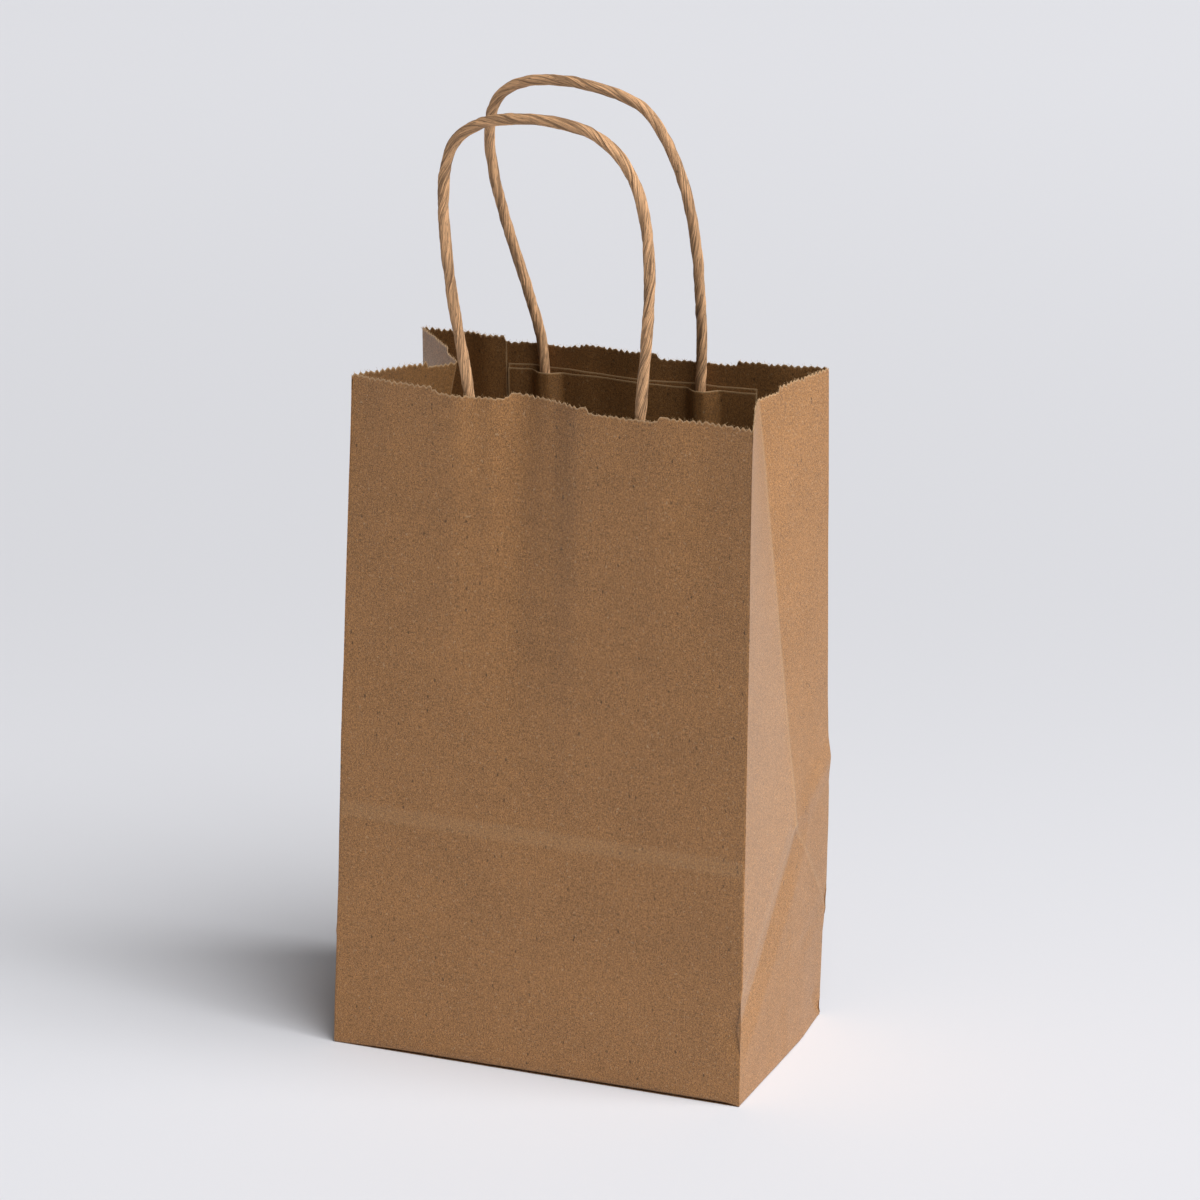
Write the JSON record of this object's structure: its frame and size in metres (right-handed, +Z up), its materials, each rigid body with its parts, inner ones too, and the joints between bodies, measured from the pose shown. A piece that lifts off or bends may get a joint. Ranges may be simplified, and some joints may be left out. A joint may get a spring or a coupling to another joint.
{
  "type": "paper carrier bag with twisted handles",
  "caption": "Small brown kraft paper carrier bag with a flat folded base, gusseted sides, a saw-cut mouth and twisted paper cord handles.",
  "frame": {"origin": "middle of the base's 133 by 80 mm rectangle, on the surface that the bag stands on", "axes": "+Z up out of the mouth, +X to the right along the front wall, the front wall faces -Y"},
  "size_m": [0.1372, 0.08, 0.2962],
  "materials": {
    "kraft_paper": "uncoated brown kraft, fine fibres and specks",
    "twisted_paper_cord": "kraft paper twisted tight into cord"
  },
  "bodies": {
    "root": {"bag_body": "kraft_paper", "front_base_strip": "kraft_paper", "front_cover_strip": "kraft_paper", "rear_base_strip": "kraft_paper", "rear_cover_strip": "kraft_paper", "front_handle": "twisted_paper_cord", "rear_handle": "twisted_paper_cord"}
  },
  "joints": []
}
